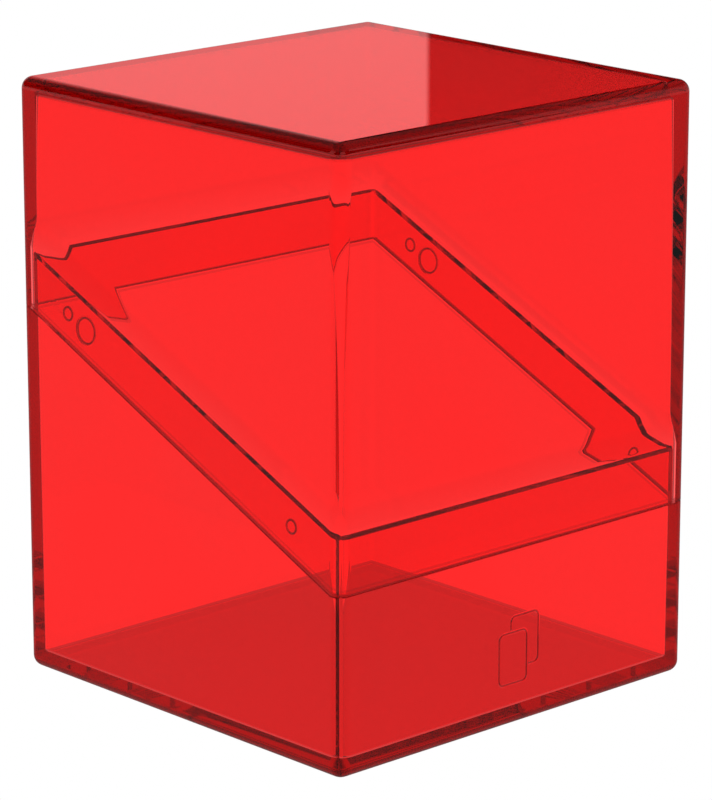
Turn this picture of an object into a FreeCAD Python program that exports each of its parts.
import FreeCAD, Part
import math
import os
import re
import Sketcher

# A deck box for trading cards, moulded in clear plastic. It has two pieces: a square base whose
# walls rise into a thin collar, and a lid of the same outline that drops over the collar and
# ends flush with the base. The seam between them is level along the front and the back, and
# climbs in a straight line from front to back across the two sides.
#
# Frame: millimetres, +Z up, -Y at the front, where the seam is low. The origin is at the centre
# of the underside.

DIMENSIONS = {
    # The closed box.
    "width": 78.55,
    "depth": 77.4,
    "height": 101.0,
    "corner_radius": 2.2,  # upright corners
    "edge_radius": 2.0,  # around the underside and around the top
    # The seam: its height at the front and the back, and how far each level end reaches in.
    "seam_low": 29.9,
    "seam_high": 62.6,
    "seam_level": 2.2,
    "seam_play": 0.06,  # air between the lid's rim and the shoulder of the base
    "mouth_radius": 0.2,  # around the inside of the collar's rim
    # Walls, measured at the closed end and at the open end of each moulding.
    "floor": 2.75,
    "roof": 2.75,
    "base_wall": 2.85,
    "lid_wall": 2.95,
    "rim_wall": 2.7,
    "inner_radius": 0.75,
    "inner_edge_radius": 0.6,
    # The lap joint: the lid's thin skirt over the collar of the base.
    "collar_rise": 9.3,
    "skirt": 1.3,
    "skirt_play": 0.15,
    "skirt_radius": 0.9,
    "collar_radius": 0.75,
    "ceiling_play": 0.4,  # air above the collar
    "ledge": 0.3,
    "taper_wall": 3.1,
    "taper_rise": 5.2,
    # Catches and the round witness mark on both sides: bumps on the collar and dimples in the
    # skirt, by their height above the seam and their distance from the middle of the side.
    "catch_lift": 4.65,
    "catch_diameter": 2.5,
    "catch_slope": 0.3,
    "bump_rise": 0.1,
    "dimple_sink": 0.3,
    "rear_catch": 27.2,
    "front_catch": 26.9,
    "witness_place": 22.6,
    "witness_diameter": 4.6,
    "witness_sink": 0.2,
    # Engraved pictogram of two cards on the front of the base.
    "mark_height": 13.0,
    "card_width": 6.2,
    "card_height": 8.6,
    "card_corner": 0.9,
    "card_step": 2.6,
    "card_gap": 0.5,
    "groove_width": 0.22,
    "groove_sink": 0.15,
}
SLOPE = "atan((seam_high - seam_low) / (depth - 2 * seam_level))"
SEAM_MIDDLE = "(seam_low + seam_high) / 2"
BEYOND = "2 * corner_radius"
CATCHES = {"Rear": "rear_catch", "Front": "-front_catch"}

doc = FreeCAD.newDocument("DeckBox")


def make_sheet():
    """The spreadsheet of driving dimensions, one row for each."""
    made = doc.addObject("Spreadsheet::Sheet", "Dimensions")
    for row, (alias, value) in enumerate(DIMENSIONS.items(), start=1):
        made.set(f"A{row}", alias)
        made.set(f"B{row}", str(value))
        made.setAlias(f"B{row}", alias)
    doc.recompute()
    return made


sheet = make_sheet()


def formula(text):
    """The text with each dimension's name pointed at its cell in the sheet."""
    return re.sub(r"[a-z_]+", lambda m: f"Dimensions.{m[0]}" if m[0] in DIMENSIONS else m[0], text)


def value(text):
    """What a formula comes to now. Angles are in degrees."""
    result = sheet.evalExpression(formula(text))
    return float(getattr(result, "Value", result))


def bind(owner, path, text):
    owner.setExpression(path, formula(text))


def plane(body, role):
    return next(o for o in body.Origin.OriginFeatures if o.Role == role)


def attach(item, body, role, height="0", slope=None):
    """Attaches a sketch or a plane to one of its own body's origin planes, moved along the plane's
    normal, and turned about the plane's first axis if slope is given."""
    item.AttachmentSupport = [(plane(body, role), "")]
    item.MapMode = "FlatFace"
    angle = value(slope) if slope else 0
    turn = FreeCAD.Rotation(FreeCAD.Vector(1, 0, 0), angle)
    item.AttachmentOffset = FreeCAD.Placement(FreeCAD.Vector(0, 0, value(height)), turn)
    bind(item, "AttachmentOffset.Base.z", height)
    if slope:
        bind(item, "AttachmentOffset.Rotation.Angle", slope)


def new_sketch(body, name, role, height="0", slope=None):
    made = body.newObject("Sketcher::SketchObject", f"{body.Name}{name}")
    attach(made, body, role, height, slope)
    return made


def place_point(sketch, geometry, end, across, up):
    """Holds a point of a sketch at distances from the sketch's origin, bound to two formulas."""
    for kind, text in (("DistanceX", across), ("DistanceY", up)):
        size = value(text)
        if size < 0:
            index = sketch.addConstraint(Sketcher.Constraint(kind, geometry, end, -1, 1, -size))
            bind(sketch, f"Constraints[{index}]", f"-({text})")
        else:
            index = sketch.addConstraint(Sketcher.Constraint(kind, -1, 1, geometry, end, size))
            bind(sketch, f"Constraints[{index}]", text)


def add_polygon(sketch, points):
    """A closed outline of straight lines through points, each a pair of formulas."""
    at = [FreeCAD.Vector(value(x), value(y), 0) for x, y in points]
    first = sketch.GeometryCount
    count = len(points)
    for i in range(count):
        sketch.addGeometry(Part.LineSegment(at[i], at[(i + 1) % count]), False)
    for i in range(count):
        following = first + (i + 1) % count
        sketch.addConstraint(Sketcher.Constraint("Coincident", first + i, 2, following, 1))
        place_point(sketch, first + i, 1, *points[i])


def add_rounded_rectangle(sketch, size_x, size_y, radius, centre=("0", "0")):
    """A closed rectangle with round corners. Its sizes, radius and centre are formulas."""
    half_x = value(size_x) / 2
    half_y = value(size_y) / 2
    r = value(radius)
    cx = value(centre[0])
    cy = value(centre[1])
    first = sketch.GeometryCount
    corners = [(1, -1), (1, 1), (-1, 1), (-1, -1)]
    for i, (sx, sy) in enumerate(corners):
        middle = FreeCAD.Vector(cx + sx * (half_x - r), cy + sy * (half_y - r), 0)
        circle = Part.Circle(middle, FreeCAD.Vector(0, 0, 1), r)
        start = math.radians(90 * (i - 1))
        sketch.addGeometry(Part.ArcOfCircle(circle, start, start + math.pi / 2), False)
    for i in range(4):
        arc = sketch.Geometry[first + i]
        following = sketch.Geometry[first + (i + 1) % 4]
        sketch.addGeometry(Part.LineSegment(arc.EndPoint, following.StartPoint), False)
    for i in range(4):
        line = first + 4 + i
        following = first + (i + 1) % 4
        sketch.addConstraint(Sketcher.Constraint("Tangent", first + i, 2, line, 1))
        sketch.addConstraint(Sketcher.Constraint("Tangent", line, 2, following, 1))
        index = sketch.addConstraint(Sketcher.Constraint("Radius", first + i, r))
        bind(sketch, f"Constraints[{index}]", radius)
    for i, (sx, sy) in enumerate(corners):
        if i in (0, 2):
            across = f"{centre[0]} + {sx} * (({size_x}) / 2 - {radius})"
            up = f"{centre[1]} + {sy} * (({size_y}) / 2 - {radius})"
            place_point(sketch, first + i, 3, across, up)
    sketch.addConstraint(Sketcher.Constraint("Vertical", first + 4))
    sketch.addConstraint(Sketcher.Constraint("Horizontal", first + 5))


def rounded_sketch(body, name, height, wall, radius, slope=None):
    """A level or sloping section of the box, wall inside its outline."""
    made = new_sketch(body, name, "XY_Plane", height, slope)
    stretch = f" / cos({slope})" if slope else ""
    size_y = f"(depth - 2 * ({wall})){stretch}"
    add_rounded_rectangle(made, f"width - 2 * ({wall})", size_y, radius)
    return made


def circle_sketch(body, name, offset, diameter, across, up):
    """A circle on a plane parallel to the sides of the box."""
    made = new_sketch(body, name, "YZ_Plane", offset)
    middle = FreeCAD.Vector(value(across), value(up), 0)
    circle = Part.Circle(middle, FreeCAD.Vector(0, 0, 1), value(diameter) / 2)
    made.addGeometry(circle, False)
    index = made.addConstraint(Sketcher.Constraint("Diameter", 0, value(diameter)))
    bind(made, f"Constraints[{index}]", diameter)
    place_point(made, 0, 3, across, up)
    return made


def seam_height(across):
    """The formula of the sloping seam's height at a distance towards the back."""
    return f"{SEAM_MIDDLE} + ({across}) * tan({SLOPE})"


def side_sketch(body, name, lift, edge):
    """The side view of all that lies above or below the seam line raised by lift. edge is the
    height at which the outline closes, clear of the box."""
    low = f"seam_low + {lift}"
    high = f"seam_high + {lift}"
    made = new_sketch(body, name, "YZ_Plane")
    corner = "depth / 2 - seam_level"
    beyond = f"depth / 2 + {BEYOND}"
    outline = [
        (f"-({beyond})", low),
        (f"-({corner})", low),
        (corner, high),
        (beyond, high),
        (beyond, edge),
        (f"-({beyond})", edge),
    ]
    add_polygon(made, outline)
    return made


def grow(body, kind, sketch, length, reverse=False, taper=None, both_ways=False):
    """A Pad or a Pocket of a sketch. Reports a failure to change the solid."""
    before = body.Shape.Volume if body.Tip else 0.0
    made = body.newObject(f"PartDesign::{kind}", f"{sketch.Label}{kind}")
    made.Profile = sketch
    made.Length = value(length)
    bind(made, "Length", length)
    made.Reversed = reverse
    if both_ways:
        made.Midplane = True
    if taper:
        made.TaperAngle = value(taper)
        bind(made, "TaperAngle", taper)
    doc.recompute()
    changed = made.Shape.Volume - before
    grew = changed > 0 if kind == "Pad" else changed < 0
    if not grew:
        raise RuntimeError(f"{made.Label} changed the volume by {changed:.3f} mm3")
    print(f"{body.Label} {made.Label}: {changed:+.2f} mm3")
    return made


def grow_to_plane(body, sketch, height, slope):
    """Pockets a level sketch upwards as far as a sloping plane."""
    before = body.Shape.Volume
    stop = body.newObject("PartDesign::Plane", f"{sketch.Label}Stop")
    attach(stop, body, "XY_Plane", height, slope)
    doc.recompute()
    made = body.newObject("PartDesign::Pocket", f"{sketch.Label}Pocket")
    made.Profile = sketch
    made.Type = "UpToFace"
    made.UpToFace = (stop, [""])
    made.Reversed = True
    doc.recompute()
    print(f"{body.Label} {made.Label}: {made.Shape.Volume - before:+.2f} mm3")
    return made


def hollow(body, name, first, second):
    """Cuts the space between two sections out of the body."""
    before = body.Shape.Volume
    made = body.newObject("PartDesign::SubtractiveLoft", f"{body.Name}{name}")
    made.Profile = first
    made.Sections = [second]
    made.Ruled = True
    doc.recompute()
    changed = made.Shape.Volume - before
    if changed >= 0:
        raise RuntimeError(f"{name} changed the volume by {changed:.3f} mm3")
    print(f"{body.Label} {name}: {changed:+.2f} mm3")
    return made


def edges_at(shape, height):
    """The names of the shape's edges that lie level at a height."""
    found = []
    for number, edge in enumerate(shape.Edges, start=1):
        box = edge.BoundBox
        if abs(box.ZMin - height) < 1e-3 and abs(box.ZMax - height) < 1e-3:
            found.append(f"Edge{number}")
    return found


def round_edges(body, name, names, radius):
    base = body.Tip
    made = body.newObject("PartDesign::Fillet", f"{body.Name}{name}")
    made.Base = (base, names)
    made.Radius = value(radius)
    bind(made, "Radius", radius)
    doc.recompute()
    print(f"{made.Label}: {len(names)} edges, {made.State}")
    return made


def inner_edges_at(shape, height, reach):
    """Edges level at a height and within reach of the middle line, so inside the walls."""
    names = edges_at(shape, height)
    inside = []
    for name in names:
        box = shape.getElement(name).BoundBox
        if max(abs(box.XMin), abs(box.XMax)) < reach and max(abs(box.YMin), abs(box.YMax)) < reach:
            inside.append(name)
    return inside


def seam_at(across):
    """The seam's height at a distance towards the back, level at both ends."""
    reach = value("depth / 2 - seam_level")
    share = (min(max(across, -reach), reach) + reach) / (2 * reach)
    return value("seam_low") + share * value("seam_high - seam_low")


def inset(point):
    """How far a point is inside the box's rounded outline."""
    radius = value("corner_radius")
    over_x = abs(point.x) - value("width") / 2 + radius
    over_y = abs(point.y) - value("depth") / 2 + radius
    return radius - math.hypot(max(over_x, 0), max(over_y, 0)) - min(max(over_x, over_y), 0)


def loop_edges(shape, lift, wall):
    """The names of the edges that follow the seam line, raised by lift, at a wall's depth."""
    found = []
    for number, edge in enumerate(shape.Edges, start=1):
        points = edge.discretize(5)
        level = all(abs(p.z - seam_at(p.y) - lift) < 0.02 for p in points)
        along = all(abs(inset(p) - wall) < 0.3 for p in points)
        if level and along:
            found.append(f"Edge{number}")
    return found


def mirror_across(body, feature):
    """Repeats a feature on the other side of the box."""
    made = body.newObject("PartDesign::Mirrored", f"Mirrored{feature.Label}")
    made.Originals = [feature]
    made.MirrorPlane = (plane(body, "YZ_Plane"), [""])
    before = body.Shape.Volume
    body.Tip = made
    doc.recompute()
    print(f"{body.Label} {made.Label}: {made.Shape.Volume - before:+.2f} mm3")
    return made


def round_feature(body, kind, name, wall, across, diameter, depth, taper=None, outward=False):
    """A round bump or sink half way up the lap joint, a wall's depth inside the +X side, and the
    same on the -X side."""
    up = f"{seam_height(across)} + catch_lift"
    sketch = circle_sketch(body, name, f"width / 2 - ({wall})", diameter, across, up)
    made = grow(body, kind, sketch, depth, reverse=outward, taper=taper)
    mirror_across(body, made)


def engrave_cards(body):
    """Two overlapping card outlines, cut into the front of the base as narrow grooves."""
    outline = new_sketch(body, "FrontCard", "XZ_Plane", "depth / 2")
    centre = ("-card_step / 2", "mark_height - card_step / 2")
    add_rounded_rectangle(outline, "card_width", "card_height", "card_corner", centre)
    inner = ("card_width - 2 * groove_width", "card_height - 2 * groove_width")
    add_rounded_rectangle(outline, *inner, "card_corner - groove_width", centre)
    grow(body, "Pocket", outline, "groove_sink")

    left = "card_step / 2 - card_width / 2"
    right = "card_step / 2 + card_width / 2"
    bottom = "mark_height + card_step / 2 - card_height / 2"
    top = "mark_height + card_step / 2 + card_height / 2"
    over = "mark_height - card_step / 2 + card_height / 2 + card_gap"
    beside = "-card_step / 2 + card_width / 2 + card_gap"
    rear = new_sketch(body, "RearCard", "XZ_Plane", "depth / 2")
    outline_points = [
        (left, over),
        (f"{left} + groove_width", over),
        (f"{left} + groove_width", f"{top} - groove_width"),
        (f"{right} - groove_width", f"{top} - groove_width"),
        (f"{right} - groove_width", f"{bottom} + groove_width"),
        (beside, f"{bottom} + groove_width"),
        (beside, bottom),
        (right, bottom),
        (right, top),
        (left, top),
    ]
    add_polygon(rear, outline_points)
    grow(body, "Pocket", rear, "groove_sink")


def make_base():
    body = doc.addObject("PartDesign::Body", "Base")
    body.Label = "base"
    outline = rounded_sketch(body, "Outline", "0", "0", "corner_radius")
    grow(body, "Pad", outline, "seam_high")
    round_edges(body, "UndersideEdge", edges_at(body.Shape, 0), "edge_radius")
    shoulder = side_sketch(body, "AboveSeam", "0", "height")
    grow(body, "Pocket", shoulder, "2 * width", both_ways=True)

    collar_wall = "skirt + skirt_play"
    collar = rounded_sketch(body, "CollarOutline", "floor", collar_wall, "collar_radius")
    grow(body, "Pad", collar, "seam_high + collar_rise - floor")
    rim = side_sketch(body, "AboveRim", "collar_rise", "height")
    grow(body, "Pocket", rim, "2 * width", both_ways=True)

    closed = rounded_sketch(body, "CavityFloor", "floor", "base_wall", "inner_radius")
    mouth = rounded_sketch(body, "CavityMouth", "seam_high + collar_rise", "rim_wall", "inner_radius")
    hollow(body, "Cavity", closed, mouth)
    inside = inner_edges_at(body.Shape, value("floor"), value("width / 2 - corner_radius"))
    round_edges(body, "CavityEdge", inside, "inner_edge_radius")

    mouth_edges = loop_edges(body.Shape, value("collar_rise"), value("rim_wall"))
    round_edges(body, "MouthEdge", mouth_edges, "mouth_radius")

    slant = "-atan(catch_slope / bump_rise)"
    for name, across in CATCHES.items():
        bump = ("catch_diameter", "bump_rise")
        round_feature(body, "Pad", f"{name}Bump", collar_wall, across, *bump, slant)
    witness = ("witness_place", "witness_diameter", "witness_sink")
    round_feature(body, "Pocket", "Witness", collar_wall, *witness)
    engrave_cards(body)
    return body


def make_lid():
    body = doc.addObject("PartDesign::Body", "Lid")
    body.Label = "lid"
    outline = rounded_sketch(body, "Outline", "seam_low", "0", "corner_radius")
    grow(body, "Pad", outline, "height - seam_low")
    round_edges(body, "TopEdge", edges_at(body.Shape, value("height")), "edge_radius")
    below = side_sketch(body, "BelowSeam", "seam_play", "0")
    grow(body, "Pocket", below, "2 * width", both_ways=True)

    closed = rounded_sketch(body, "CavityRoof", "height - roof", "lid_wall", "inner_radius")
    mouth = rounded_sketch(body, "CavityMouth", "seam_low", "rim_wall", "inner_radius")
    hollow(body, "Cavity", closed, mouth)
    reach = value("width / 2 - corner_radius")
    inside = inner_edges_at(body.Shape, value("height - roof"), reach)
    round_edges(body, "CavityEdge", inside, "inner_edge_radius")

    ceiling = f"{SEAM_MIDDLE} + collar_rise + ceiling_play"
    skirt = rounded_sketch(body, "SkirtOutline", "seam_low", "skirt", "skirt_radius")
    grow_to_plane(body, skirt, ceiling, SLOPE)
    step = rounded_sketch(body, "TaperStart", ceiling, "skirt + ledge", "inner_radius", SLOPE)
    full = rounded_sketch(body, "TaperEnd", f"{ceiling} + taper_rise", "taper_wall", "inner_radius", SLOPE)
    hollow(body, "Taper", step, full)

    slant = "-atan(catch_slope / dimple_sink)"
    for name, across in CATCHES.items():
        dimple = ("catch_diameter", "dimple_sink")
        round_feature(body, "Pocket", f"{name}Dimple", "skirt", across, *dimple, slant, outward=True)
    return body


def check_document():
    """Stops if anything in the document failed, or if a piece isn't one closed solid."""
    failed = [o.Label for o in doc.Objects if "Invalid" in o.State or "Error" in o.State]
    if failed:
        raise RuntimeError(f"failed objects: {failed}")
    for body in pieces:
        shape = body.Shape
        if shape.isNull() or not shape.isValid() or len(shape.Solids) != 1:
            raise RuntimeError(f"{body.Label} is not one valid solid")


pieces = [make_base(), make_lid()]
doc.recompute()
check_document()
os.makedirs("parts", exist_ok=True)
for body in pieces:
    body.Shape.exportStep(f"parts/{body.Label}.step")
    box = body.Shape.BoundBox
    print(f"{body.Label}: {body.Shape.Volume:.0f} mm3, z {box.ZMin:.2f} to {box.ZMax:.2f}")
print(f"shared by both pieces: {pieces[0].Shape.common(pieces[1].Shape).Volume:.4f} mm3")
